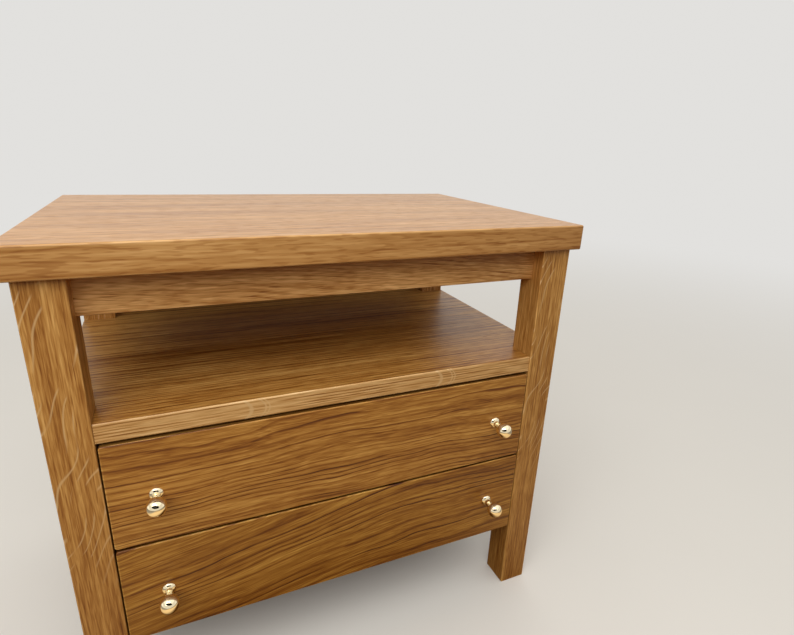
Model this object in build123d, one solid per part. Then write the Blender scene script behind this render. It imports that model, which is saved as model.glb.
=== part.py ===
"""Low oak nightstand: solid top on four square legs, an open shelf compartment and two inset drawers.

Millimetres, +Z up, front towards -Y. The origin is on the floor, at the centre of the overall box,
which reaches from the knobs' front to the back edge of the top.
"""

import math
import os

from build123d import *

# Top board
top_width = 600.0
top_depth = 380.0
top_thickness = 30.0
top_overhang = 9.0
top_corner_round = 3.0
top_edge_round = 2.0

# Legs, full height from the floor to the top board
overall_height = 550.0
leg_size = 40.0
leg_edge_round = 1.5

# Apron rails under the top, inner faces flush with the legs' inner faces
rail_height = 41.0
rail_thickness = 22.0
rail_edge_round = 1.5

# Stub tenons of rails and side panels in the legs
tenon_thickness = 8.0
tenon_shoulder = 2.0
tenon_spacing = 1.0
tenon_clearance = 0.1

# Shelf, let in round the legs
shelf_underside = 356.0
shelf_thickness = 22.0
shelf_set_back = 1.5
shelf_edge_round = 2.0
shelf_notch_clearance = 0.2

# Drawer case: side panels, back panel and two flat rails under the lower drawer
case_underside = 107.0
back_panel_thickness = 12.0
back_panel_set_in = 4.0
back_panel_housing = 8.0
bottom_rail_width = 40.0
bottom_rail_thickness = 18.0
bottom_rail_gap = 2.0

# Glued wooden dowels
dowel_radius = 4.0
dowel_clearance = 0.05
dowel_end_gap = 1.0
dowel_depth_leg = 10.0
dowel_depth_rail = 20.0
dowel_edge_distance = 8.0
shelf_dowel_depth = 12.0
shelf_dowel_count = 3
shelf_dowel_end_distance = 35.0

# Screws that hold the top, sunk in the apron rails
top_screw_radius = 2.0
top_screw_head_radius = 4.0
top_screw_head_height = 3.0
top_screw_sink = 15.0
top_screw_grip = 18.0
top_screw_end_distance = 60.0

# Drawer fronts, flush with the legs
front_thickness = 22.0
front_side_gap = 1.5
front_gap = 2.8
front_edge_round = 1.2
front_corner_round = 3.0

# Drawer boxes, dovetailed
box_back_gap = 24.0
box_height = 90.0
box_thickness = 12.0
box_lift = 3.0
tail_count = 3
tail_narrow = 14.0
tail_wide = 18.0
tail_clearance = 0.05
bottom_thickness = 6.0
bottom_lift = 10.0
bottom_groove_depth = 6.0
bottom_groove_clearance = 0.1
bottom_edge_gap = 0.3

# Screws that hold a drawer front on its box
front_screw_radius = 2.0
front_screw_head_radius = 4.0
front_screw_head_height = 2.4
front_screw_grip = 14.0
front_screw_end_distance = 105.0
front_screw_edge_distance = 25.0

# Ball knobs
knob_end_distance = 44.5
knob_drop = 2.6
knob_ball_radius = 10.0
knob_ball_distance = 22.0
knob_collar_radius = 5.0
knob_collar_thickness = 1.2
knob_neck_radius = 4.2
knob_base_radius = 7.4
knob_base_rim = 1.0
knob_base_height = 4.0
knob_dome_radius = 6.0
knob_screw_radius = 1.8
knob_screw_grip = 8.0
knob_screw_head_radius = 4.0
knob_screw_head_height = 2.4

# Running gap of a screw's shank in its hole, and the free end of a blind hole
screw_clearance = 0.1
screw_end_gap = 1.0

# Full-extension drawer slides: three nested steel channels on each side, running on balls
slide_thickness = 12.7
slide_front_gap = 3.0
slide_back_gap = 21.0
slide_half_height = 22.8
slide_sheet = 1.2
slide_gap = 0.3
slide_lip_gap = 2.3
slide_screw_radius = 1.75
slide_screw_head_radius = 3.1
slide_case_screw_grip = 14.0
slide_drawer_screw_grip = 9.0
slide_screw_count = 3
slide_screw_end_distance = 35.0
ball_radius = 1.5
ball_clearance = 0.05
balls_in_cage = 5
cage_length = 100.0
cage_width = 5.0
cage_thickness = 0.8
cage_hole_clearance = 0.1

# Smallest radius worth rounding
least_round = 0.05

# Places that follow from the sizes above
knob_reach = max(0.0, knob_ball_distance + knob_ball_radius - top_overhang)
top_back_y = (top_depth + knob_reach) / 2
top_front_y = top_back_y - top_depth
top_underside = overall_height - top_thickness
rail_underside = top_underside - rail_height
leg_outer_x = top_width / 2 - top_overhang
leg_inner_x = leg_outer_x - leg_size
leg_front_y = top_front_y + top_overhang
leg_back_y = top_back_y - top_overhang
bay_front_y = leg_front_y + leg_size
bay_back_y = leg_back_y - leg_size
rail_outer_x = leg_inner_x + rail_thickness
tenon_length = rail_thickness - tenon_shoulder - tenon_thickness - tenon_spacing
shelf_top = shelf_underside + shelf_thickness
front_height = (shelf_underside - case_underside - 2 * front_gap) / 2
lower_front_z = case_underside
upper_front_z = lower_front_z + front_height + front_gap
front_back_y = leg_front_y + front_thickness
box_half_width = leg_inner_x - slide_thickness
inner_front_back_y = front_back_y + box_thickness
back_panel_back_y = leg_back_y - back_panel_set_in
back_panel_front_y = back_panel_back_y - back_panel_thickness
box_back_y = back_panel_front_y - box_back_gap
bottom_rail_top = case_underside + bottom_rail_thickness
slide_front_y = front_back_y + slide_front_gap
slide_back_y = back_panel_front_y - slide_back_gap
lip_step = slide_sheet + 2 * (ball_radius + ball_clearance)
sides = {"left": -1, "right": 1}


def board(x_range, y_range, z_range):
    """Square-edged board between a low and a high value along each axis."""
    size = [high - low for low, high in (x_range, y_range, z_range)]
    centre = [(high + low) / 2 for low, high in (x_range, y_range, z_range)]
    return Pos(*centre) * Box(*size)


def span(first, second):
    """Low and high of two values, whichever comes first."""
    return (min(first, second), max(first, second))


def rod(start, direction, radius, length, end_radius=None):
    """Round bar, or a cone where the far end has another radius."""
    plane = Plane(origin=start, z_dir=direction)
    if end_radius is None:
        solid = Cylinder(radius, length, align=(Align.CENTER, Align.CENTER, Align.MIN))
    else:
        solid = Cone(radius, end_radius, length, align=(Align.CENTER, Align.CENTER, Align.MIN))
    return plane * solid


def round_edges(solid, edges, radius, thickness):
    """Rounded edges, never by more than a third of the board's thickness."""
    radius = min(radius, thickness / 3)
    return fillet(edges, radius) if radius > least_round else solid


def evenly(low, high, count):
    """Places of a row of fasteners from low to high."""
    if count == 1:
        return [(low + high) / 2]
    return [low + (high - low) * index / (count - 1) for index in range(count)]


def save(name, *solids):
    """One STEP file for one piece, or for a group of like pieces."""
    shape = solids[0] if len(solids) == 1 else Compound(children=list(solids))
    shape.label = name
    export_step(shape, os.path.join("parts", name + ".step"))


# Joints between rails, panels and legs

def end_tongue(side, z_range, clearance):
    """Stub tenon of a front or back rail, drawn for a rail whose outer face is at y = 0, inwards +Y."""
    return board(
        span(side * leg_inner_x, side * (leg_inner_x + tenon_length + clearance)),
        (tenon_shoulder - clearance, tenon_shoulder + tenon_thickness + clearance),
        (z_range[0] - clearance, z_range[1] + clearance),
    )


def cross_tenon(side, end, z_range, clearance=0.0):
    """Stub tenon on one end of the front (end -1) or back (end +1) apron rail."""
    tongue = end_tongue(side, z_range, clearance)
    if end < 0:
        return Pos(0, bay_front_y - rail_thickness, 0) * tongue
    return Pos(0, bay_back_y + rail_thickness, 0) * mirror(tongue, Plane.XZ)


def side_tenon(side, end, z_range, clearance=0.0):
    """Stub tenon on the front (end -1) or back (end +1) of a side rail or side panel."""
    face_y = bay_front_y if end < 0 else bay_back_y
    outer = rail_outer_x - tenon_shoulder
    return board(
        span(side * (outer + clearance), side * (outer - tenon_thickness - clearance)),
        span(face_y, face_y + end * (tenon_length + clearance)),
        (z_range[0] - clearance, z_range[1] + clearance),
    )


def rail_tenon_heights():
    """Tenon height of an apron rail, with a shoulder above and below."""
    return (rail_underside + tenon_shoulder, top_underside - tenon_shoulder)


def panel_tongue_heights():
    """Height of the tongue along a side panel's edge."""
    return (case_underside + tenon_shoulder, shelf_underside - tenon_shoulder)


def bottom_rail_y(end):
    """Front and back edge of the flat rail under the lower drawer, front (-1) or back (+1)."""
    if end < 0:
        return (front_back_y + bottom_rail_gap, front_back_y + bottom_rail_gap + bottom_rail_width)
    return (back_panel_front_y - bottom_rail_width, back_panel_front_y)


def bottom_rail_dowels(side, end, clearance=0.0):
    """Two dowels in one end of a flat rail, one in the leg and one in the side panel."""
    low, high = bottom_rail_y(end)
    z = case_underside + bottom_rail_thickness / 2
    extra = dowel_end_gap if clearance else 0.0
    length = dowel_depth_leg + dowel_depth_rail + 2 * extra
    start = side * (leg_inner_x + dowel_depth_leg + extra)
    return [
        rod((start, y, z), (-side, 0, 0), dowel_radius + clearance, length)
        for y in (low + dowel_edge_distance, high - dowel_edge_distance)
    ]


def shelf_dowels(side, clearance=0.0):
    """Dowels that stand in a side panel's upper edge and in the shelf."""
    x = side * (leg_inner_x + rail_thickness / 2)
    extra = dowel_end_gap if clearance else 0.0
    length = dowel_depth_rail + shelf_dowel_depth + 2 * extra
    places = evenly(bay_front_y + shelf_dowel_end_distance, bay_back_y - shelf_dowel_end_distance,
                    shelf_dowel_count)
    return [
        rod((x, y, shelf_underside - dowel_depth_rail - extra), (0, 0, 1), dowel_radius + clearance, length)
        for y in places
    ]


def top_screw_places():
    """Where the top's screws stand: two in each apron rail."""
    far_x = leg_inner_x - top_screw_end_distance
    front_y = bay_front_y - rail_thickness / 2
    back_y = bay_back_y + rail_thickness / 2
    side_x = leg_inner_x + rail_thickness / 2
    ends = (bay_front_y + top_screw_end_distance, bay_back_y - top_screw_end_distance)
    across = [(x, y) for y in (front_y, back_y) for x in (-far_x, far_x)]
    along = [(side * side_x, y) for side in sides.values() for y in ends]
    return across + along


def top_screws():
    """Pan-head wood screws, up through the apron rails into the top."""
    seat = rail_underside + top_screw_sink
    length = top_underside + top_screw_grip - seat
    return [
        rod((x, y, seat - top_screw_head_height), (0, 0, 1), top_screw_head_radius, top_screw_head_height)
        + rod((x, y, seat), (0, 0, 1), top_screw_radius, length)
        for x, y in top_screw_places()
    ]


def top_screw_holes():
    """Counterbores in the rails, shank holes through them and pilot holes in the top."""
    seat = rail_underside + top_screw_sink
    length = top_underside + top_screw_grip + screw_end_gap - seat
    return [
        rod((x, y, rail_underside), (0, 0, 1), top_screw_head_radius + screw_clearance, top_screw_sink)
        + rod((x, y, seat), (0, 0, 1), top_screw_radius + screw_clearance, length)
        for x, y in top_screw_places()
    ]


# Carcass

def top_panel():
    """Edge-glued oak top with eased edges."""
    x_range = (-top_width / 2, top_width / 2)
    solid = board(x_range, (top_front_y, top_back_y), (top_underside, overall_height))
    solid = round_edges(solid, solid.edges().filter_by(Axis.Z), top_corner_round, top_thickness)
    rims = solid.faces().sort_by(Axis.Z)[-1].edges() + solid.faces().sort_by(Axis.Z)[0].edges()
    solid = round_edges(solid, rims, top_edge_round, top_thickness)
    return solid - top_screw_holes()


def leg(side, end):
    """Square leg with mortises for the rail, side rail and side panel, and its dowel holes."""
    y_range = (leg_front_y, bay_front_y) if end < 0 else (bay_back_y, leg_back_y)
    solid = board(span(side * leg_inner_x, side * leg_outer_x), y_range, (0, top_underside))
    solid = round_edges(solid, solid.edges().filter_by(Axis.Z), leg_edge_round, leg_size)
    solid -= cross_tenon(side, end, rail_tenon_heights(), tenon_clearance)
    solid -= side_tenon(side, end, rail_tenon_heights(), tenon_clearance)
    solid -= side_tenon(side, end, panel_tongue_heights(), tenon_clearance)
    solid -= bottom_rail_dowels(side, end, dowel_clearance)
    solid -= slide_pilot_holes(side)
    if end > 0:
        solid -= back_panel_blank(tenon_clearance)
    return solid


def cross_rail(end):
    """Front or back apron rail."""
    y_range = span(bay_front_y, bay_front_y - rail_thickness)
    if end > 0:
        y_range = span(bay_back_y, bay_back_y + rail_thickness)
    solid = board((-leg_inner_x, leg_inner_x), y_range, (rail_underside, top_underside))
    lower_edges = solid.faces().sort_by(Axis.Z)[0].edges().filter_by(Axis.X)
    solid = round_edges(solid, lower_edges, rail_edge_round, rail_thickness)
    for side in sides.values():
        solid += cross_tenon(side, end, rail_tenon_heights())
    return solid - top_screw_holes()


def side_rail(side):
    """Apron rail between the front and back leg of one side."""
    solid = board(span(side * leg_inner_x, side * rail_outer_x), (bay_front_y, bay_back_y),
                  (rail_underside, top_underside))
    lower_edges = solid.faces().sort_by(Axis.Z)[0].edges().filter_by(Axis.Y)
    solid = round_edges(solid, lower_edges, rail_edge_round, rail_thickness)
    for end in (-1, 1):
        solid += side_tenon(side, end, rail_tenon_heights())
    return solid - top_screw_holes()


def shelf():
    """Shelf board, its four corners cut out round the legs."""
    front_y = leg_front_y + shelf_set_back
    back_y = leg_back_y - shelf_set_back
    solid = board((-leg_outer_x, leg_outer_x), (front_y, back_y), (shelf_underside, shelf_top))
    notch_x = leg_inner_x - shelf_notch_clearance
    for side in sides.values():
        for y_range in ((front_y, bay_front_y + shelf_notch_clearance),
                        (bay_back_y - shelf_notch_clearance, back_y)):
            solid -= board(span(side * notch_x, side * leg_outer_x), y_range, (shelf_underside, shelf_top))
    outline = solid.faces().sort_by(Axis.Z)[-1].edges() + solid.faces().sort_by(Axis.Z)[0].edges()
    long_edges = outline.filter_by(Axis.X).filter_by(lambda edge: edge.length > leg_inner_x)
    solid = round_edges(solid, long_edges, shelf_edge_round, shelf_thickness)
    for side in sides.values():
        solid -= shelf_dowels(side, dowel_clearance)
    return solid


def side_panel(side):
    """Solid panel between the legs of one side, with a tongue along each upright edge."""
    solid = board(span(side * leg_inner_x, side * rail_outer_x), (bay_front_y, bay_back_y),
                  (case_underside, shelf_underside))
    for end in (-1, 1):
        solid += side_tenon(side, end, panel_tongue_heights())
        solid -= bottom_rail_dowels(side, end, dowel_clearance)
    solid -= shelf_dowels(side, dowel_clearance)
    return solid - slide_pilot_holes(side)


def back_panel_blank(clearance=0.0):
    """Back panel's outline, its upright edges housed in the back legs."""
    half = leg_inner_x + back_panel_housing + clearance
    return board((-half, half), (back_panel_front_y - clearance, back_panel_back_y + clearance),
                 (case_underside - clearance, shelf_underside))


def bottom_rail(end):
    """Flat rail behind the lower drawer's front, or in front of the back panel."""
    solid = board((-leg_inner_x, leg_inner_x), bottom_rail_y(end), (case_underside, bottom_rail_top))
    for side in sides.values():
        solid -= bottom_rail_dowels(side, end, dowel_clearance)
    return solid


# Drawer slides

def slide_height(front_z):
    """Middle height of a drawer's slides, halfway up its box."""
    return front_z + bottom_rail_thickness + box_lift + box_height / 2


def channel(side, z, web, tip, half_height):
    """Steel channel: web at one depth from the case side, lips above and below that end at another."""
    step = slide_sheet if tip > web else -slide_sheet
    y_range = (slide_front_y, slide_back_y)
    web_x = side * (leg_inner_x - web)
    web_plate = board(span(web_x, web_x - side * step), y_range, (z - half_height, z + half_height))
    lips = [
        board(span(web_x, side * (leg_inner_x - tip)), y_range,
              span(z + up * half_height, z + up * (half_height - slide_sheet)))
        for up in (-1, 1)
    ]
    return web_plate + lips


def slide_screw(side, z, y, depth, direction, grip, clearance=0.0):
    """Countersunk screw whose head lies flush in a web: direction +1 goes into the case, -1 the drawer."""
    start = (side * (leg_inner_x - depth), y, z)
    into = (side * direction, 0, 0)
    waist = slide_screw_radius + clearance
    head = rod(start, into, slide_screw_head_radius + clearance, slide_sheet, waist)
    extra = screw_end_gap if clearance else 0.0
    return head + rod(start, into, waist, slide_sheet + grip + extra)


def slide_screw_places():
    """Where the screws stand along a slide."""
    return evenly(slide_front_y + slide_screw_end_distance,
                  slide_back_y - slide_screw_end_distance, slide_screw_count)


def case_screws(side, z, clearance=0.0):
    """Screws of the case member, into the side panel."""
    return [
        slide_screw(side, z, y, slide_sheet, 1, slide_case_screw_grip, clearance)
        for y in slide_screw_places()
    ]


def drawer_screws(side, z, clearance=0.0):
    """Screws of the drawer member, into the drawer's side."""
    depth = slide_thickness - slide_sheet
    return [
        slide_screw(side, z, y, depth, -1, slide_drawer_screw_grip, clearance)
        for y in slide_screw_places()
    ]


def slide_pilot_holes(side):
    """Pilot holes of both slides of one side of the case."""
    holes = []
    for front_z in (lower_front_z, upper_front_z):
        holes += case_screws(side, slide_height(front_z), screw_clearance)
    return holes


def case_member(side, z):
    """Widest channel, its web on the case side."""
    tip = slide_thickness - slide_lip_gap
    return channel(side, z, 0.0, tip, slide_half_height) - case_screws(side, z, screw_clearance)


def middle_member(side, z):
    """Middle channel, nested in the case member."""
    web = slide_sheet + slide_gap
    tip = slide_thickness - slide_sheet - slide_gap
    return channel(side, z, web, tip, slide_half_height - lip_step)


def drawer_member(side, z):
    """Narrowest channel, its web on the drawer's side and its lips inside the middle member."""
    tip = 2 * (slide_sheet + slide_gap)
    member = channel(side, z, slide_thickness, tip, slide_half_height - 2 * lip_step)
    return member - drawer_screws(side, z, screw_clearance)


def ball_cages(side, z, stage):
    """Upper and lower row of balls with their cage strips, between two members.

    Stage 0 runs between the case and middle members, stage 1 between the middle and drawer members.
    """
    x = side * (leg_inner_x - slide_thickness / 2)
    middle_y = (slide_front_y + slide_back_y) / 2
    drop = slide_sheet + ball_radius + ball_clearance + stage * lip_step
    pitch = cage_length / balls_in_cage
    first_y = middle_y - pitch * (balls_in_cage - 1) / 2
    solids = []
    for up in (-1, 1):
        row_z = z + up * (slide_half_height - drop)
        strip = board((x - cage_width / 2, x + cage_width / 2),
                      (middle_y - cage_length / 2, middle_y + cage_length / 2),
                      (row_z - cage_thickness / 2, row_z + cage_thickness / 2))
        for index in range(balls_in_cage):
            place = (x, first_y + pitch * index, row_z)
            strip -= Pos(*place) * Cylinder(ball_radius + cage_hole_clearance, 2 * ball_radius)
            solids.append(Pos(*place) * Sphere(ball_radius))
        solids.append(strip)
    return solids


# Drawers

def drawer_front(front_z):
    """Solid oak front with eased edges and its holes for knob and fixing screws."""
    half = leg_inner_x - front_side_gap
    solid = board((-half, half), (leg_front_y, front_back_y), (front_z, front_z + front_height))
    solid = round_edges(solid, solid.edges().filter_by(Axis.Y), front_corner_round, front_thickness)
    rim = solid.faces().sort_by(Axis.Y)[0].edges()
    solid = round_edges(solid, rim, front_edge_round, front_thickness)
    for side in sides.values():
        solid -= knob_screw(side, front_z, screw_clearance)
    return solid - front_screws(front_z, screw_clearance)


def box_heights(front_z):
    """Lower and upper edge of a drawer's box."""
    low = front_z + bottom_rail_thickness + box_lift
    return (low, low + box_height)


def tails(side, end, front_z, clearance=0.0):
    """Dovetails on one end of a box side, as prisms that reach through the cross board."""
    low = box_heights(front_z)[0]
    pitch = box_height / tail_count
    end_y = front_back_y if end < 0 else box_back_y
    root_y = end_y - end * box_thickness
    inner_x = side * (box_half_width - box_thickness)
    plane = Plane(origin=(inner_x, 0, 0), x_dir=(0, 1, 0), z_dir=(1, 0, 0))
    prisms = []
    for index in range(tail_count):
        z = low + pitch * (index + 0.5)
        wide = tail_wide / 2 + clearance
        narrow = tail_narrow / 2 + clearance
        outline = [(end_y, z - wide), (end_y, z + wide), (root_y, z + narrow), (root_y, z - narrow)]
        face = make_face(Polyline(*outline, close=True))
        prisms.append(extrude(plane * face, amount=box_thickness, dir=(side, 0, 0)))
    return prisms


def bottom_blank(front_z, gap=0.0, clearance=0.0):
    """Drawer bottom's outline: narrower by gap at each edge, or wider by clearance all round."""
    low = box_heights(front_z)[0] + bottom_lift
    reach = bottom_groove_depth - box_thickness - gap + clearance
    half = box_half_width + reach
    return board((-half, half), (front_back_y - reach, box_back_y + reach),
                 (low - clearance, low + bottom_thickness + clearance))


def bottom_groove(front_z):
    """Groove that the bottom's edges lie in, on all four boards."""
    return bottom_blank(front_z, 0.0, bottom_groove_clearance)


def box_side(side, front_z):
    """Box side with dovetails at both ends, grooved for the bottom."""
    inner = box_half_width - box_thickness
    solid = board(span(side * inner, side * box_half_width),
                  (front_back_y + box_thickness, box_back_y - box_thickness), box_heights(front_z))
    for end in (-1, 1):
        solid += tails(side, end, front_z)
    solid -= bottom_groove(front_z)
    return solid - drawer_screws(side, slide_height(front_z), screw_clearance)


def box_cross_board(end, front_z):
    """Inner front (end -1) or back (end +1) of a box, with sockets for the dovetails."""
    end_y = front_back_y if end < 0 else box_back_y
    solid = board((-box_half_width, box_half_width), span(end_y, end_y - end * box_thickness),
                  box_heights(front_z))
    for side in sides.values():
        solid -= tails(side, end, front_z, tail_clearance)
    solid -= bottom_groove(front_z)
    if end > 0:
        return solid
    for side in sides.values():
        solid -= knob_screw(side, front_z, screw_clearance)
    return solid - front_screws(front_z, screw_clearance)


def knob_place(side, front_z):
    """Centre of a knob's seat on its drawer front."""
    x = leg_inner_x - front_side_gap - knob_end_distance
    return (side * x, leg_front_y, front_z + front_height / 2 - knob_drop)


def knob(side, front_z):
    """Turned brass knob: domed base, neck, narrow collar and ball, with a blind hole for its screw."""
    seat = knob_place(side, front_z)
    plane = Plane(origin=seat, x_dir=(1, 0, 0), z_dir=(0, 0, -1))
    ball_start = knob_ball_distance - math.sqrt(knob_ball_radius ** 2 - knob_collar_radius ** 2)
    ball_end = knob_ball_distance + knob_ball_radius
    collar_start = ball_start - knob_collar_thickness
    rim = (knob_base_radius, knob_base_rim)
    dome_end = (knob_neck_radius, knob_base_height)
    collar_end = (knob_collar_radius, ball_start)
    outline = [
        Polyline((0, 0), (knob_base_radius, 0), rim),
        RadiusArc(rim, dome_end, -knob_dome_radius),
        Polyline(dome_end, (knob_neck_radius, collar_start), (knob_collar_radius, collar_start), collar_end),
        ThreePointArc(collar_end, (knob_ball_radius, knob_ball_distance), (0, ball_end)),
        Line((0, ball_end), (0, 0)),
    ]
    solid = revolve(plane * make_face(outline), Axis(seat, (0, -1, 0)), 360)
    return solid - knob_screw(side, front_z, screw_clearance)


def knob_screw(side, front_z, clearance=0.0):
    """Machine screw from inside the box through both boards into the knob, or its hole."""
    x, face_y, z = knob_place(side, front_z)
    extra = screw_end_gap if clearance else 0.0
    length = inner_front_back_y - face_y + knob_screw_grip + extra
    shank = rod((x, inner_front_back_y, z), (0, -1, 0), knob_screw_radius + clearance, length)
    if clearance:
        return shank
    head = rod((x, inner_front_back_y, z), (0, 1, 0), knob_screw_head_radius, knob_screw_head_height)
    return shank + head


def front_screws(front_z, clearance=0.0):
    """Screws from inside the box into the drawer front, or their holes."""
    low, high = box_heights(front_z)
    extra = screw_end_gap if clearance else 0.0
    length = box_thickness + front_screw_grip + extra
    screws = []
    far_x = box_half_width - box_thickness - front_screw_end_distance
    for x in (-far_x, far_x):
        for z in (low + front_screw_edge_distance, high - front_screw_edge_distance):
            start = (x, inner_front_back_y, z)
            screw = rod(start, (0, -1, 0), front_screw_radius + clearance, length)
            if not clearance:
                screw += rod(start, (0, 1, 0), front_screw_head_radius, front_screw_head_height)
            screws.append(screw)
    return screws


def save_carcass():
    """Every fixed piece of the case."""
    save("top_panel", top_panel())
    for end, row in ((-1, "front"), (1, "back")):
        save("rail_top_" + row, cross_rail(end))
        save("rail_bottom_" + row, bottom_rail(end))
        for name, side in sides.items():
            save("leg_" + row + "_" + name, leg(side, end))
    for name, side in sides.items():
        save("rail_top_" + name, side_rail(side))
        save("side_panel_" + name, side_panel(side))
    save("shelf", shelf())
    save("back_panel", back_panel_blank())
    save("top_screws", *top_screws())
    both = [(side, end) for side in sides.values() for end in (-1, 1)]
    save("bottom_rail_dowels", *[dowel for side, end in both for dowel in bottom_rail_dowels(side, end)])
    save("shelf_dowels", *[dowel for side in sides.values() for dowel in shelf_dowels(side)])


def save_drawer(level, front_z):
    """Every piece of one drawer and its slides."""
    middle_z = slide_height(front_z)
    save(level + "_drawer_front", drawer_front(front_z))
    save(level + "_drawer_inner_front", box_cross_board(-1, front_z))
    save(level + "_drawer_back", box_cross_board(1, front_z))
    save(level + "_drawer_bottom", bottom_blank(front_z, bottom_edge_gap))
    save(level + "_front_screws", *front_screws(front_z))
    save(level + "_knob_screws", *[knob_screw(side, front_z) for side in sides.values()])
    case_side = []
    drawer_side = []
    cages = {"outer": [], "inner": []}
    for name, side in sides.items():
        save(level + "_drawer_side_" + name, box_side(side, front_z))
        save(level + "_knob_" + name, knob(side, front_z))
        save(level + "_slide_case_member_" + name, case_member(side, middle_z))
        save(level + "_slide_middle_member_" + name, middle_member(side, middle_z))
        save(level + "_slide_drawer_member_" + name, drawer_member(side, middle_z))
        case_side += case_screws(side, middle_z)
        drawer_side += drawer_screws(side, middle_z)
        cages["outer"] += ball_cages(side, middle_z, 0)
        cages["inner"] += ball_cages(side, middle_z, 1)
    save(level + "_slide_case_screws", *case_side)
    save(level + "_slide_drawer_screws", *drawer_side)
    for stage, solids in cages.items():
        save(level + "_slide_" + stage + "_ball_cages", *solids)


os.makedirs("parts", exist_ok=True)
save_carcass()
save_drawer("upper", upper_front_z)
save_drawer("lower", lower_front_z)
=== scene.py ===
import math

import bpy
import numpy as np
from mathutils import Matrix, Vector


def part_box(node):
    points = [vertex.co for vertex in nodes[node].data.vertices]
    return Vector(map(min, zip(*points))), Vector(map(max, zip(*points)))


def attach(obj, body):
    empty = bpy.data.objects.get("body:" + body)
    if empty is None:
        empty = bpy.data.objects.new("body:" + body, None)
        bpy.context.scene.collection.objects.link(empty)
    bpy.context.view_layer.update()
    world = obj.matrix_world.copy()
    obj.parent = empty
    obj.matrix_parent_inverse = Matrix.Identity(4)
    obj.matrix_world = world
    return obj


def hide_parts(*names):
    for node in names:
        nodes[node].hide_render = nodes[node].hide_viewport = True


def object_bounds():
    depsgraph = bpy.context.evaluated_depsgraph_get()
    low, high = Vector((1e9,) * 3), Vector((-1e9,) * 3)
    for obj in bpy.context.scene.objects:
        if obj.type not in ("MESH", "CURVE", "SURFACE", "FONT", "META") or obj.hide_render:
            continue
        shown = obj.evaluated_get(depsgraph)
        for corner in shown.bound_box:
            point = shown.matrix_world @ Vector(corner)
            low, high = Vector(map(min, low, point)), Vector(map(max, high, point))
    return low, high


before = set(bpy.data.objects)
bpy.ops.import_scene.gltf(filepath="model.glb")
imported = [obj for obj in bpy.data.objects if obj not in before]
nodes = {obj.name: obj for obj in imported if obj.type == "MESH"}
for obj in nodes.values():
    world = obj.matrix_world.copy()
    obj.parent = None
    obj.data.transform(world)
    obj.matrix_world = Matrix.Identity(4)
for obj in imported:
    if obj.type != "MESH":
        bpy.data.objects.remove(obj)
cad_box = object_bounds()

# Top board: three wide oak staves glued edge to edge, grain along the length, planed, its edges
# rounded over and the whole oiled to a satin sheen. Each stave has its own figure and tone, and the
# front edge shows the long grain of the front stave with fine dark pores.


class Shade:
    """One socket of a node tree. Sums written on it add Math nodes, and node() adds any other node."""

    def __init__(self, tree, socket=None):
        self.tree = tree
        self.socket = socket

    def node(self, kind, settings, links, output=0):
        """Adds a node, gives it its settings, then values or links by socket, and wraps an output."""
        made = self.tree.nodes.new(kind)
        for key, value in settings.items():
            setattr(made, key, value)
        for key, value in links.items():
            if isinstance(value, Shade):
                self.tree.links.new(value.socket, made.inputs[key])
            else:
                made.inputs[key].default_value = value
        return Shade(self.tree, made.outputs[output] if made.outputs else None)

    def out(self, output):
        """Another output of the node that this socket belongs to."""
        return Shade(self.tree, self.socket.node.outputs[output])

    def math(self, operation, *values):
        return self.node("ShaderNodeMath", {"operation": operation}, dict(enumerate(values)))

    def __add__(self, other):
        return self.math("ADD", self, other)

    __radd__ = __add__

    def __sub__(self, other):
        return self.math("SUBTRACT", self, other)

    def __rsub__(self, other):
        return self.math("SUBTRACT", other, self)

    def __mul__(self, other):
        return self.math("MULTIPLY", self, other)

    __rmul__ = __mul__

    def __truediv__(self, other):
        return self.math("DIVIDE", self, other)

    def __abs__(self):
        return self.math("ABSOLUTE", self)

    def power(self, exponent):
        return self.math("POWER", self, exponent)

    def __gt__(self, other):
        return self.math("GREATER_THAN", self, other)

    def rise(self, low, high):
        """0 below low, 1 above high, and a smooth climb between them."""
        return self.node("ShaderNodeMapRange", {"interpolation_type": "SMOOTHSTEP"},
                         {"Value": self, "From Min": low, "From Max": high})

    def blend(self, first, second, way="MIX"):
        """The colour first where this value is 0, and second where it is 1."""
        return self.node("ShaderNodeMix", {"data_type": "RGBA", "blend_type": way},
                         {0: self, 6: first, 7: second}, 2)

    def vector(self, operation, *values):
        return self.node("ShaderNodeVectorMath", {"operation": operation}, dict(enumerate(values)))

    def join(self, *values):
        """Three values as one vector."""
        return self.node("ShaderNodeCombineXYZ", {}, dict(enumerate(values)))

    def part(self, number):
        """The red, green or blue part of a colour, by its number."""
        return self.node("ShaderNodeSeparateColor", {}, {0: self}, number)

    def tint(self, colour):
        """A colour times this factor, redder where that makes it darker, as oiled wood is."""
        light = self.math("MAXIMUM", self, 0.15)
        return self.vector("MULTIPLY", colour, light.join(light, light.power(1.45), light.power(2.2)))

    def cloud(self, scales, seed, detail=1.0):
        """Soft noise of about -0.3 to 0.3, whose lumps are 1 / scales metres long on each axis."""
        spot = self.vector("MULTIPLY_ADD", self, scales, (seed, 1.3 * seed, 0.7 * seed))
        return self.node("ShaderNodeTexNoise", {}, {"Vector": spot, "Scale": 1.0, "Detail": detail}) - 0.5

    def chance(self, seed):
        """Three random values from 0 to 1, the same wherever this value is the same."""
        return self.node("ShaderNodeTexWhiteNoise", {"noise_dimensions": "2D"},
                         {"Vector": self.join(self, seed, 0.0)}, "Color")


def blank(name):
    """An empty material, and the wrapped Object coordinates that its sums start from."""
    material = bpy.data.materials.new(name)
    material.use_nodes = True
    material.node_tree.nodes.clear()
    return material, Shade(material.node_tree).node("ShaderNodeTexCoord", {}, {}, "Object")


def surface(start, sockets):
    """Closes a material with a Principled surface that has these socket values."""
    shader = start.node("ShaderNodeBsdfPrincipled", {}, sockets)
    start.node("ShaderNodeOutputMaterial", {}, {"Surface": shader})


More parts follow.
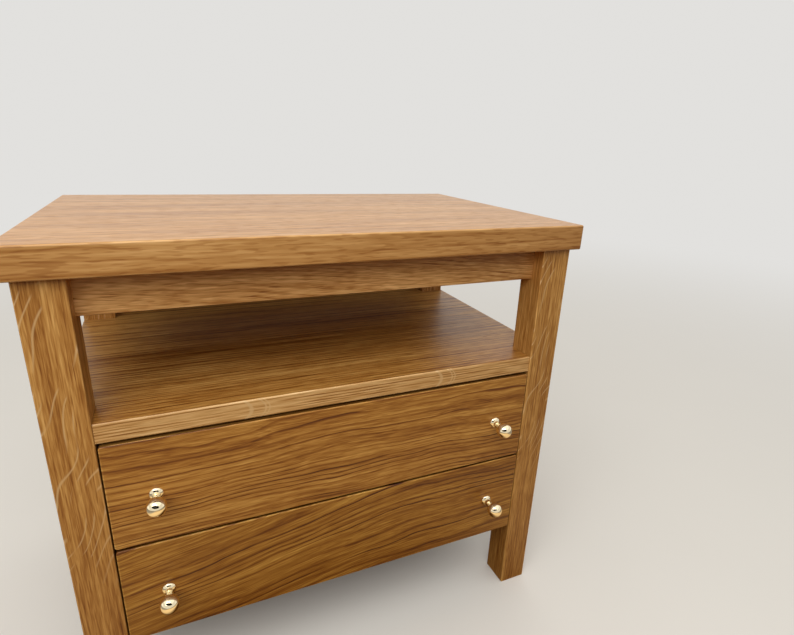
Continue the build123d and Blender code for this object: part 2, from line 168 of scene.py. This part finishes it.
def dress(node, material):
    """Puts a material on every slot of a carried-over node."""
    for slot in nodes[node].material_slots:
        slot.material = material


OAK_TONE = (0.475, 0.224, 0.052)
OAK_GLOSS = dict(rough=0.36, ior=1.45, bump=0.35)
PORE_DEPTH = 0.0004
EDGE_HIGHLIGHT_FULL = 0.0005
EDGE_HIGHLIGHT_START = 0.0018
SEAM_CORE = 0.0002
SEAM_BLUR = 0.0006
STAVE_SHIFT = 0.05


def oak(node, grain, face, pith, ring, lines=0.4, streaks=0.8, bands=0.5, dashes=(0.9, 45.0),
        lean=0.0, sway=0.003, bend=None, seams=(), detail=None, seed=0.0, tone=OAK_TONE,
        gloss=OAK_GLOSS, edge_highlight=0.25):
    """Solid oak for one node, worked out in space so that faces, edges and end grain agree.

    A growth ring's number is the distance from the pith, divided by the ring's width, after a bend
    has moved the pith and slow noise and a lean have pushed the ring. Each ring starts with a dark line
    of large pores that fades outwards. Noise that is long along the grain and follows the rings makes
    streaks, and a finer one makes dashes, given as their strength and how many fit in a metre. A
    piece's own function, detail, may draw on the colour. Edges, where two of the box's faces are close,
    are painted a little paler, a painted highlight like light caught on a rounded edge, and the end
    grain is darkened last.
    """
    low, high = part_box(node)
    material, place = blank(node)
    parts = place.vector("SUBTRACT", place, tuple((low + high) / 2))
    parts = parts.node("ShaderNodeSeparateXYZ", {}, {0: parts})
    axes = {"x": parts, "y": parts.out(1), "z": parts.out(2)}
    half = dict(zip("xyz", (high - low) / 2))
    near = [abs(axes[axis]).rise(half[axis] - EDGE_HIGHLIGHT_START, half[axis] - EDGE_HIGHLIGHT_FULL) for axis in "xyz"]
    edge = near[0] * near[1] + near[1] * near[2] + near[2] * near[0]
    along = axes.pop(grain)
    depth = axes.pop(face)
    across = axes.popitem()[1]

    stave = across * 0.0 + seed
    for seam in seams:
        stave = stave + (across > seam)
    lot = stave.chance(seed)
    spot = place.join(along + 3.0 * lot.part(0), across, depth + lot.part(1))

    sideways = across - pith[0] + STAVE_SHIFT * (lot.part(2) - 0.5) * min(1, len(seams))
    if bend:
        start, end, height = bend
        sideways = sideways + height * along.rise(start, end)
    behind = depth - pith[1]
    push = lean * along + 2.0 * sway * spot.cloud((3.5, 7.0, 7.0), seed)
    push = push + 0.7 * sway * spot.cloud((12.0, 24.0, 24.0), seed + 1.0)
    push = push + 0.2 * sway * spot.cloud((26.0, 80.0, 80.0), seed + 3.0)
    radius = (sideways * sideways + behind * behind).power(0.5) + push
    number = radius / ring
    number = number + 2.6 * number.join(number * 0.31, 0.0, 0.0).cloud((1.0, 1.0, 1.0), seed + 5.0)
    age = number.math("FRACT", number)
    strength = number.math("FLOOR", number).chance(seed + 2.0).part(0)
    line = age.rise(0.0, 0.10) * (1.0 - age.rise(0.08, 0.45)) * (0.3 + 0.7 * strength)

    around = sideways.math("ARCTAN2", sideways, abs(behind)) * math.hypot(*pith)
    fibres = place.join(along + lot.part(0), radius, around)
    line = line * fibres.cloud((8.0, 60.0, 60.0), seed + 7.0).rise(-0.28, 0.10)
    band = number.join(number * 0.45, along * 4.0, around * 20.0).cloud((1.0, 1.0, 1.0), seed + 11.0)
    swath = fibres.cloud((4.0, 90.0, 90.0), seed + 12.0)
    streak = fibres.cloud((12.0, 420.0, 420.0), seed + 13.0, 2.0)
    dash = fibres.cloud((dashes[1], 700.0, 700.0), seed + 17.0, 1.0)
    pore = fibres.cloud((60.0, 900.0, 900.0), seed + 19.0, 0.0).rise(0.04, 0.20)
    pore = pore * (0.5 + 0.5 * line)
    light = 1.06 + bands * band + 0.1 * (lot.part(1) - 0.5)
    light = light + streaks * (0.7 * swath + 1.0 * streak) + dashes[0] * dash
    light = light * (1.0 - lines * line) * (1.0 - 0.4 * pore)
    colour = light.tint(tone)
    if detail:
        colour = detail(colour, along, across, depth)
    # Edges painted paler: a painted highlight.
    shade = 1.0 + edge_highlight * edge
    for seam in seams:
        shade = shade * (1.0 - 0.2 * abs(across - seam).rise(SEAM_BLUR, SEAM_CORE))
    facing = place.node("ShaderNodeTexCoord", {}, {}, "Normal")
    facing = facing.node("ShaderNodeSeparateXYZ", {}, {0: facing}).out("xyz".index(grain))
    colour = (shade * (1.0 - 0.25 * abs(facing).rise(0.8, 0.95))).tint(colour)

    height = 0.25 * dash - 0.7 * pore - 0.25 * line
    bumps = place.node("ShaderNodeBump", {}, {"Strength": gloss["bump"], "Distance": PORE_DEPTH,
                                              "Height": height})
    surface(place, {"Base Color": colour, "Roughness": gloss["rough"] + 0.15 * pore + 0.12 * streak,
                    "IOR": gloss["ior"], "Normal": bumps})
    dress(node, material)


oak("top_panel", "x", "z", pith=(0.02, -0.09), ring=0.0035, lines=0.45, streaks=0.55, bands=0.6,
    dashes=(0.55, 30.0), sway=0.002, seams=(-0.074, 0.034), seed=4.0, tone=(0.52, 0.250, 0.070))

# Legs: four square posts of quartered oak, full height from the floor to the top. Their front faces
# show pale wavy ray flecks across a straight, close grain.
OAK_RAY = (0.76, 0.49, 0.22, 1.0)
FLECK_GAP = 0.011
FLECK_SLANT = 0.32
leg_low, leg_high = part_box("leg_front_left")
FLECK_FACE = (leg_high.y - leg_low.y) / 2
FLECK_FADE = 0.0015
FLECK_FULL = 0.0003


def ray_flecks_and_foot_shade(colour, along, across, depth):
    """Pale lines on the upper half, at a slant: the level lines of a tilted plane plus slow noise.

    They lie on the two faces along the rays alone, and the wood is painted a little darker towards the
    foot: painted shade, as the light falls off lower down.
    """
    spot = along.join(along, across, depth)
    # Painted shade: the leg's colour darker towards the foot.
    colour = (0.86 + 0.18 * along.rise(-0.26, 0.20)).tint(colour)
    level = (across - FLECK_SLANT * along) / FLECK_GAP + 5.0 * spot.cloud((16.0, 24.0, 24.0), 23.0, 0.0)
    sheet = abs(level.math("FRACT", level) - 0.5).rise(0.13, 0.0)
    sheet = sheet * spot.cloud((22.0, 60.0, 60.0), 31.0, 0.0).rise(-0.12, 0.02)
    sheet = sheet * abs(depth).rise(FLECK_FACE - FLECK_FADE, FLECK_FACE - FLECK_FULL)
    return (0.7 * sheet * along.rise(-0.10, 0.02)).blend(colour, OAK_RAY)


for number, side in enumerate(("left", "right")):
    for place_name, seed in (("front", 21.0), ("back", 27.0)):
        oak("leg_%s_%s" % (place_name, side), "z", "y", pith=(-0.15, 0.03), ring=0.0034, lines=0.35,
            streaks=0.9, dashes=(1.1, 45.0), sway=0.001, detail=ray_flecks_and_foot_shade, seed=seed + 3.0 * number,
            tone=(0.475, 0.213, 0.046))

# Apron rails: four oak boards on edge under the top, close-grained, tenoned into the legs, with screws
# up through them that hold the top board. Their tone is a little paler than the legs': painted light
# that lifts the shade that the top's overhang casts on them.
RAIL_TONE_PAINTED_LIGHTER = (0.59, 0.290, 0.088)
oak("rail_top_front", "x", "y", pith=(-0.06, 0.10), ring=0.0026, lean=0.05, seed=31.0, tone=RAIL_TONE_PAINTED_LIGHTER)
oak("rail_top_back", "x", "y", pith=(0.05, -0.10), ring=0.0026, seed=33.0, tone=RAIL_TONE_PAINTED_LIGHTER)
for number, side in enumerate(("left", "right")):
    oak("rail_top_" + side, "y", "x", pith=(0.05, 0.10), ring=0.0026, seed=35.0 + number, tone=RAIL_TONE_PAINTED_LIGHTER)

# Shelf: one board of glued staves between the legs, notched round them, its front edge set back a
# little. A thin lipping of pale, finger-jointed oak strips closes the front edge.
LIPPING = 0.0012
LIPPING_LAYER = 0.0030
LIPPING_PALE = (0.63, 0.345, 0.118)
LIPPING_JOINTS = (-0.097, 0.129)
JOINT_MARKS = ((-0.009, 0.0030), (0.006, 0.0014), (0.010, 0.0012))
shelf_low, shelf_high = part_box("shelf")
lipping_back = shelf_low.y + LIPPING - (shelf_low.y + shelf_high.y) / 2


def lipping(colour, along, across, depth):
    """The front edge's lipping: close brown lines along it, and three pale marks at each joint."""
    spot = along.join(along, across, depth)
    level = depth / LIPPING_LAYER + 1.4 * spot.cloud((4.0, 1.0, 60.0), 44.0)
    layer = abs(level.math("FRACT", level) - 0.5).rise(0.35, 0.05)
    layer = layer * spot.cloud((9.0, 1.0, 300.0), 45.0).rise(-0.2, 0.2)
    light = 1.10 - 0.6 * layer + 1.0 * spot.cloud((40.0, 1.0, 700.0), 46.0)
    strip = light.tint(LIPPING_PALE)
    for joint in LIPPING_JOINTS:
        bowed = along - joint + 60.0 * depth * depth
        for mark, width in JOINT_MARKS:
            reach = abs(bowed - mark).rise(width, 0.3 * width)
            strip = (0.7 * reach).blend(strip, OAK_RAY)
    return across.rise(lipping_back + 0.0002, lipping_back).blend(colour, strip)


oak("shelf", "x", "z", pith=(0.10, -0.10), ring=0.0050, lines=0.8, streaks=1.2,
    seams=(-0.142, -0.03, 0.09), detail=lipping, seed=41.0, tone=(0.46, 0.214, 0.046))

# Drawer case: side panels and a back panel housed in the legs, and two flat rails that tie the legs
# below the lower drawer.
for number, side in enumerate(("left", "right")):
    oak("side_panel_" + side, "z", "x", pith=(0.03, 0.12), ring=0.0045, lines=0.4,
        seams=(-0.05, 0.05), seed=51.0 + 3.0 * number)
oak("back_panel", "x", "y", pith=(0.02, -0.14), ring=0.0045, lines=0.4, seams=(-0.06, 0.05), seed=57.0)
for number, place_name in enumerate(("front", "back")):
    oak("rail_bottom_" + place_name, "x", "z", pith=(0.04, 0.10), ring=0.003, seed=61.0 + number)

# Dowels: plain beech rods glued into the legs and into the ends of the bottom rails and the shelf. None
# of them shows once the case is glued up.
BEECH = (0.55, 0.36, 0.20)


def dowel_beech(node, grain):
    """Pale beech with short brown flecks along the rod."""
    material, place = blank(node)
    scales = [900.0, 900.0, 900.0]
    scales["xyz".index(grain)] = 250.0
    fleck = place.cloud(tuple(scales), 3.0, 0.0).rise(0.12, 0.25)
    fibre = place.cloud((400.0, 400.0, 400.0), 5.0, 2.0)
    colour = (1.0 + 0.3 * fibre - 0.4 * fleck).tint(BEECH)
    surface(place, {"Base Color": colour, "Roughness": 0.6})
    dress(node, material)


dowel_beech("bottom_rail_dowels", "x")
dowel_beech("shelf_dowels", "x")

# Screws: zinc-plated steel with plain round heads, driven from inside the case and the drawers, so
# that none shows while the drawers are shut.


def plated(node_names, name, colour, rough, grain_scales):
    """Plated or drawn steel: even metal with faint streaks and a soft mottle in its gloss."""
    material, place = blank(name)
    streak = place.cloud(grain_scales, 2.0, 2.0)
    mottle = place.cloud((60.0, 60.0, 60.0), 9.0, 2.0)
    light = 1.0 + 0.18 * streak + 0.12 * mottle
    shade = place.vector("MULTIPLY", colour, light.join(light, light, light))
    surface(place, {"Base Color": shade, "Metallic": 1.0, "Roughness": rough + 0.08 * mottle})
    for node in node_names:
        dress(node, material)


LEVELS = ("upper", "lower")
SCREW_ZINC = (0.62, 0.62, 0.60)
SCREWS = ["top_screws"] + ["%s_%s_screws" % (level, use) for level in LEVELS
                           for use in ("slide_case", "slide_drawer", "front", "knob")]
plated(SCREWS, "zinc_plated_screw", SCREW_ZINC, 0.34, (500.0, 500.0, 500.0))

# Drawer slides: three nested channels of zinc-plated sheet steel on each side, rolled along their
# length, with polished balls in flat cages between them.
SLIDE_ZINC = (0.60, 0.61, 0.63)
SLIDE_MEMBERS = ["%s_slide_%s_member_%s" % (level, part, side) for level in LEVELS
                 for part in ("case", "middle", "drawer") for side in ("left", "right")]
plated(SLIDE_MEMBERS, "rolled_slide_steel", SLIDE_ZINC, 0.36, (900.0, 6.0, 900.0))
BALL_STEEL = (0.72, 0.72, 0.73)
BALL_CAGES = ["%s_slide_%s_ball_cages" % (level, stage) for level in LEVELS
              for stage in ("outer", "inner")]
plated(BALL_CAGES, "polished_ball_steel", BALL_STEEL, 0.12, (300.0, 300.0, 300.0))

# Drawer boxes: thin oak sides dovetailed to front and back, left matt, round a birch plywood bottom
# that slides in grooves.
MATT = dict(rough=0.58, ior=1.40, bump=0.3)
BOX_TONE = (0.56, 0.34, 0.145)
for level_number, level in enumerate(LEVELS):
    seed = 71.0 + 9.0 * level_number
    for number, part in enumerate(("_drawer_inner_front", "_drawer_back")):
        oak(level + part, "x", "y", pith=(0.03, 0.12), ring=0.0042, lines=0.35, seed=seed + number,
            tone=BOX_TONE, gloss=MATT)
    for number, side in enumerate(("left", "right")):
        oak(level + "_drawer_side_" + side, "y", "x", pith=(0.03, 0.12), ring=0.0042, lines=0.35,
            seed=seed + 3.0 + number, tone=BOX_TONE, gloss=MATT)

BIRCH = (0.66, 0.50, 0.31)
BIRCH_GLUE = (0.36, 0.22, 0.12, 1.0)
PLIES = 5.0


def birch_ply(node):
    """Birch plywood: a pale, faintly rippled face, and thin crossed plies on the edges."""
    low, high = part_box(node)
    material, place = blank(node)
    parts = place.node("ShaderNodeSeparateXYZ", {}, {0: place})
    height = (parts.out(2) - low.z) / (high.z - low.z)
    ripple = place.cloud((12.0, 90.0, 40.0), 2.0, 2.0)
    fibre = place.cloud((40.0, 900.0, 900.0), 5.0, 2.0)
    colour = (1.08 + 0.7 * ripple + 0.5 * fibre).tint(BIRCH)
    ply = height.math("PINGPONG", height * PLIES, 0.5)
    colour = (0.7 * ply.rise(0.08, 0.02)).blend(colour, BIRCH_GLUE)
    surface(place, {"Base Color": colour, "Roughness": 0.5 + 0.2 * fibre, "IOR": 1.4})
    dress(node, material)


for level in LEVELS:
    birch_ply(level + "_drawer_bottom")

# Drawer fronts: two flat-sawn oak boards, their edges eased, with bold dark grain that flows along
# the upper one in slow waves and climbs across the lower one.
front_low, front_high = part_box("upper_drawer_front")
FRONT_FACE = (front_low.y - front_high.y) / 2
GAP_SHADE_START = 0.0006
GAP_SHADE_FULL = 0.0014
GAP_SHADE_DARK = 0.60


def painted_gap_shade(colour, along, across, depth):
    """Painted shade: darker from 1 mm behind the face, so that the gaps round the fronts read dark."""
    gap_darkening = 1.0 - GAP_SHADE_DARK * depth.rise(FRONT_FACE + GAP_SHADE_START, FRONT_FACE + GAP_SHADE_FULL)
    return colour.vector("MULTIPLY", colour, gap_darkening.join(gap_darkening, gap_darkening, gap_darkening))


oak("upper_drawer_front", "x", "y", pith=(0.085, 0.075), ring=0.0050, lines=0.95, streaks=1.3,
    bands=0.7, sway=0.009, detail=painted_gap_shade, seed=81.0, tone=(0.43, 0.183, 0.031), edge_highlight=0.4)
# The lower front's tone is darker than the upper's: painted shade, as the light falls off lower down.
oak("lower_drawer_front", "x", "y", pith=(-0.15, 0.07), ring=0.0075, lines=1.0, streaks=1.6,
    bands=1.0, sway=0.012, bend=(-0.34, 0.10, -0.062), detail=painted_gap_shade, seed=88.0,
    tone=(0.35, 0.141, 0.018), edge_highlight=0.4)

# Knobs: turned and polished brass, a domed foot, a neck with a narrow collar and a ball, drawn tight
# by a screw from inside the drawer.
MM = 0.001
BRASS = (0.95, 0.82, 0.56, 1.0)
BRASS_TARNISHED = (0.88, 0.70, 0.42, 1.0)
KNOB_BALL = 10.0 * MM
KNOB_BALL_DISTANCE = 22.0 * MM
KNOB_COLLAR = 5.0 * MM
KNOB_COLLAR_THICKNESS = 1.2 * MM
KNOB_NECK = 4.2 * MM
KNOB_FOOT = 7.4 * MM
KNOB_RIM = 1.0 * MM
KNOB_FOOT_HEIGHT = 4.0 * MM
KNOB_DOME = 6.0 * MM
KNOB_EASE = 0.3 * MM
KNOB_CREASE = 0.12 * MM
KNOB_STEPS = 72


def arc(centre, radius, start, end, count):
    """Points on a circle about centre, from one angle to the other in degrees."""
    angle = np.radians(np.linspace(start, end, count))
    return np.stack([centre[0] + radius * np.cos(angle), centre[1] + radius * np.sin(angle)], axis=1)


def lathe(name, profile, seat, axis, steps):
    """A profile of (radius, distance) points carried round an axis that stands on seat.

    Point i of the profile at angle j lies at seat + distance * axis + radius * (cos j * u + sin j * v),
    where u and v are square to the axis. Both ends of the profile meet the axis in a pole.
    """
    axis = np.asarray(axis, float)
    first = np.cross(axis, (0.3, 0.5, 0.8))
    first /= np.linalg.norm(first)
    second = np.cross(axis, first)
    angle = np.arange(steps) * 2 * np.pi / steps
    ring = np.cos(angle)[:, None] * first + np.sin(angle)[:, None] * second
    inner = profile[1:-1]
    points = (np.asarray(seat) + inner[:, 1, None, None] * axis + inner[:, 0, None, None] * ring)
    poles = np.asarray(seat) + profile[[0, -1], 1, None] * axis
    vertices = np.concatenate([points.reshape(-1, 3), poles])
    rows, columns = np.meshgrid(np.arange(len(inner) - 1), np.arange(steps), indexing="ij")
    here = (rows * steps + columns).ravel()
    beside = (rows * steps + (columns + 1) % steps).ravel()
    quads = np.stack([here, beside, beside + steps, here + steps], axis=1)
    around = np.arange(steps)
    after = (around + 1) % steps
    last = (len(inner) - 1) * steps
    bottom = np.stack([after, around, np.full(steps, len(vertices) - 2)], axis=1)
    top = np.stack([last + around, last + after, np.full(steps, len(vertices) - 1)], axis=1)
    mesh = bpy.data.meshes.new(name)
    mesh.from_pydata(vertices.tolist(), [], quads.tolist() + bottom.tolist() + top.tolist())
    mesh.polygons.foreach_set("use_smooth", np.ones(len(mesh.polygons), bool))
    mesh.update()
    piece = bpy.data.objects.new(name, mesh)
    bpy.context.scene.collection.objects.link(piece)
    return piece


def knob_profile():
    """The knob's outline as (radius, distance from the drawer), from the pole of its foot to its top."""
    edge = KNOB_FOOT - KNOB_EASE
    foot = arc((edge, KNOB_EASE), KNOB_EASE, -90, 0, 6)
    low = np.array([KNOB_FOOT, KNOB_RIM])
    high = np.array([KNOB_NECK, KNOB_FOOT_HEIGHT])
    half = (high - low) / 2
    away = math.sqrt(KNOB_DOME ** 2 - half @ half)
    centre = (low + high) / 2 + away * np.array([-half[1], half[0]]) / np.linalg.norm(half)
    angles = [math.degrees(math.atan2(*(point - centre)[::-1])) for point in (low, high)]
    dome = arc(centre, KNOB_DOME, angles[0], angles[1], 16)
    reach = math.sqrt(KNOB_BALL ** 2 - KNOB_COLLAR ** 2)
    bead = KNOB_COLLAR_THICKNESS / 2
    bead_spot = (KNOB_COLLAR - bead, KNOB_BALL_DISTANCE - reach - bead)
    neck = np.array([[KNOB_NECK, KNOB_FOOT_HEIGHT + KNOB_CREASE],
                     [KNOB_NECK, bead_spot[1] - bead - KNOB_CREASE]])
    collar = arc(bead_spot, bead, -80, 80, 10)
    turn = math.degrees(math.atan2(-reach, KNOB_COLLAR))
    ball = arc((0.0, KNOB_BALL_DISTANCE), KNOB_BALL, turn + 1, 90, 40)
    pole = np.array([[0.0, 0.0]])
    ball[-1, 0] = 0.0
    return np.concatenate([pole, foot, dome, neck, collar, ball])


brass, place = blank("polished_brass")
haze = place.cloud((90.0, 90.0, 90.0), 3.0, 2.0)
scratch = place.cloud((2500.0, 2500.0, 2500.0), 7.0, 1.0)
tarnish = haze.rise(0.05, 0.3)
bumps = place.node("ShaderNodeBump", {}, {"Strength": 0.05, "Distance": 0.0001, "Height": scratch})
surface(place, {"Base Color": (0.5 * tarnish).blend(BRASS, BRASS_TARNISHED), "Metallic": 1.0,
                "Roughness": 0.07 + 0.06 * tarnish, "Normal": bumps})
for level in LEVELS:
    for side in ("left", "right"):
        node = "%s_knob_%s" % (level, side)
        low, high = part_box(node)
        seat = ((low.x + high.x) / 2, high.y, (low.z + high.z) / 2)
        knob = lathe(node + "_turned", knob_profile(), seat, (0.0, -1.0, 0.0), KNOB_STEPS)
        knob.data.materials.append(brass)
        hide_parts(node)
        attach(knob, level + "_drawer")

# Floor: a plain pale studio floor that keeps the nightstand's shadow and fades into the backdrop. The
# light that it throws back is brown and dim, and the brass mirrors it in a warm tone.
FLOOR_HALF = 6.0
FLOOR_DROP = 0.3 * MM
BACKDROP = (0.76, 0.75, 0.73, 1.0)
FLOOR_DIM = (0.82, 0.785, 0.72, 1.0)
FLOOR_PALE = (0.86, 0.825, 0.76, 1.0)
FLOOR_BOUNCE = (0.13, 0.072, 0.028, 1.0)
FLOOR_MIRRORED_PAINTED_SHADOW = (0.12, 0.05, 0.01, 1.0)
FLOOR_MIRRORED = (0.95, 0.72, 0.42, 1.0)
FLOOR_MIRRORED_FAR = (0.70, 0.52, 0.32, 1.0)
FLOOR_MIRRORED_BESIDE = (0.36, 0.33, 0.30, 1.0)


def studio_sheet(name, corners, material):
    """A flat piece of the studio with one face, whose corners are given in order."""
    mesh = bpy.data.meshes.new(name)
    mesh.from_pydata(corners, [], [list(range(len(corners)))])
    mesh.materials.append(material)
    piece = bpy.data.objects.new(name, mesh)
    bpy.context.scene.collection.objects.link(piece)


material, place = blank("studio_floor")
path = place.node("ShaderNodeLightPath", {}, {}, "Is Camera Ray")
distance = place.vector("LENGTH", place).out("Value")
far = distance.rise(0.5, 3.8)
mottle = place.cloud((6.0, 6.0, 6.0), 2.0, 3.0)
tone = (0.5 + 0.4 * mottle).blend(FLOOR_DIM, FLOOR_PALE)
# Close round the nightstand, reflections see the floor nearly black: a painted shadow.
mirrored = distance.rise(0.25, 0.45).blend(FLOOR_MIRRORED_PAINTED_SHADOW, FLOOR_MIRRORED)
mirrored = distance.rise(0.7, 1.3).blend(mirrored, FLOOR_MIRRORED_FAR)
parts = place.node("ShaderNodeSeparateXYZ", {}, {0: place})
beside = abs(parts).rise(0.45, 0.8)
beside = beside.math("MAXIMUM", beside, parts.out(1).rise(-0.1, 0.3))
mirrored = beside.blend(mirrored, FLOOR_MIRRORED_BESIDE)
unseen = path.out("Is Glossy Ray").blend(FLOOR_BOUNCE, mirrored)
ground = place.node("ShaderNodeBsdfDiffuse", {}, {"Color": path.blend(unseen, tone)})
glow = place.node("ShaderNodeEmission", {}, {"Color": BACKDROP, "Strength": 1.0})
mixed = place.node("ShaderNodeMixShader", {}, {0: path * far, 1: ground, 2: glow})
place.node("ShaderNodeOutputMaterial", {}, {"Surface": mixed})
studio_sheet("studio_floor", [(FLOOR_HALF * x, FLOOR_HALF * y, -FLOOR_DROP) for x, y in
                              ((-1, -1), (1, -1), (1, 1), (-1, 1))], material)

# Flag: a dark card close behind the nightstand, which keeps the light out of the open compartment from
# that side. It isn't seen itself.
FLAG_WIDTH = 0.62
FLAG_GAP = 0.05
FLAG_BELOW_SHELF = 0.02
FLAG_BROWN = (0.02, 0.014, 0.01, 1.0)
flag_low = shelf_high.z - FLAG_BELOW_SHELF
flag_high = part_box("top_panel")[0].z
flag_y = cad_box[1][1] + FLAG_GAP


def studio_card(name, corners, colour, ray, shown):
    """A flat card that is shown to this kind of ray alone, or else to every other kind alone."""
    material, place = blank(name)
    path = place.node("ShaderNodeLightPath", {}, {}, ray)
    card = place.node("ShaderNodeBsdfDiffuse", {}, {"Color": colour})
    clear = place.node("ShaderNodeBsdfTransparent", {}, {})
    first, second = (clear, card) if shown else (card, clear)
    mixed = place.node("ShaderNodeMixShader", {}, {0: path, 1: first, 2: second})
    place.node("ShaderNodeOutputMaterial", {}, {"Surface": mixed})
    studio_sheet(name, corners, material)


studio_card("studio_flag", [(FLAG_WIDTH / 2 * x, flag_y, z) for x, z in
                            ((-1, flag_low), (1, flag_low), (1, flag_high), (-1, flag_high))],
            FLAG_BROWN, "Is Camera Ray", False)

# Studio light: a white room, brightest overhead and dimmer at the left, and a large soft lamp above and
# in front. Reflections see the room a little brighter, and darker low down in front.
ROOM_WHITE = (1.0, 0.985, 0.96, 1.0)
ROOM_MIRRORED = (1.0, 0.99, 0.97, 1.0)
LAMP_SPOT = Vector((-0.50, -0.90, 1.25))
LAMP_AIM = Vector((0.0, 0.0, 0.30))
LAMP_SIZE = 1.1
LAMP_WATTS = 9.8
world = bpy.data.worlds.new("studio_room")
world.use_nodes = True
world.node_tree.nodes.clear()
bpy.context.scene.world = world
room = Shade(world.node_tree)
way = room.node("ShaderNodeTexCoord", {}, {}, "Generated")
parts = way.node("ShaderNodeSeparateXYZ", {}, {0: way})
path = way.node("ShaderNodeLightPath", {}, {}, "Is Camera Ray")
up = parts.out(2)
left = (0.0 - parts).rise(0.0, 0.8)
room_light = way.node("ShaderNodeBackground", {}, {
    "Color": ROOM_WHITE, "Strength": 0.17 - 0.10 * left + 0.74 * up.rise(0.1, 0.8)})
mirror = 0.80 + 0.25 * parts.out(1).rise(-0.6, 0.1) * (1.0 - 0.9 * up.rise(0.15, 0.35))
mirror = mirror + 0.35 * parts.out(1).rise(-0.1, 0.1) * up.rise(0.11, 0.17) * up.rise(0.28, 0.20)
mirror = mirror.math("MAXIMUM", mirror, 1.2 * up.rise(0.40, 0.65))
room_mirror = way.node("ShaderNodeBackground", {}, {"Color": ROOM_MIRRORED, "Strength": mirror})
backdrop = way.node("ShaderNodeBackground", {}, {"Color": BACKDROP, "Strength": 1.0})
mixed = way.node("ShaderNodeMixShader", {}, {0: path.out("Is Glossy Ray"), 1: room_light, 2: room_mirror})
mixed = way.node("ShaderNodeMixShader", {}, {0: path, 1: mixed, 2: backdrop})
way.node("ShaderNodeOutputWorld", {}, {"Surface": mixed})

panel = bpy.data.lights.new("overhead_lamp", "AREA")
panel.size = LAMP_SIZE
panel.energy = LAMP_WATTS
lamp = bpy.data.objects.new("overhead_lamp", panel)
bpy.context.scene.collection.objects.link(lamp)
lamp.location = LAMP_SPOT
lamp.rotation_euler = (LAMP_AIM - LAMP_SPOT).to_track_quat("-Z", "Y").to_euler()

# Camera: at the photograph's place, in front of the nightstand's left half and a little above the top
# board, turned to the right and looking down.
PICTURE = (794, 635)
FOCAL_PIXELS = 513.6776
SENSOR = 36.0
CAMERA_SPOT = Vector((-168.189, -663.462, 637.849)) * MM
CAMERA_TURN = math.radians(-24.4416)
CAMERA_TILT = math.radians(-18.8441)
CAMERA_ROLL = math.radians(-2.2896)
view = bpy.data.cameras.new("photo_view")
view.sensor_fit = "HORIZONTAL"
view.sensor_width = SENSOR
view.lens = FOCAL_PIXELS * SENSOR / PICTURE[0]
view.clip_start = 0.01
camera = bpy.data.objects.new("photo_view", view)
bpy.context.scene.collection.objects.link(camera)
camera.matrix_world = (Matrix.Translation(CAMERA_SPOT) @ Matrix.Rotation(CAMERA_TURN, 4, "Z")
                       @ Matrix.Rotation(CAMERA_TILT, 4, "X") @ Matrix.Rotation(CAMERA_ROLL, 4, "Y")
                       @ Matrix.Rotation(math.radians(90), 4, "X"))
bpy.context.scene.camera = camera
bpy.context.scene.view_settings.view_transform = "Standard"

# Dark card: a plain dark oval behind the camera, which only reflections show. It gives the polished
# brass its small dark middle.
CARD_HALF = (0.50, 0.20)
CARD_BACK = 0.03
CARD_POINTS = 48
CARD_BLACK = (0.01, 0.01, 0.01, 1.0)
card_angle = np.arange(CARD_POINTS) * 2 * np.pi / CARD_POINTS
card_edge = [camera.matrix_world @ Vector((CARD_HALF[0] * x, CARD_HALF[1] * y, CARD_BACK))
             for x, y in zip(np.cos(card_angle), np.sin(card_angle))]
studio_card("studio_dark_card", card_edge, CARD_BLACK, "Is Glossy Ray", True)
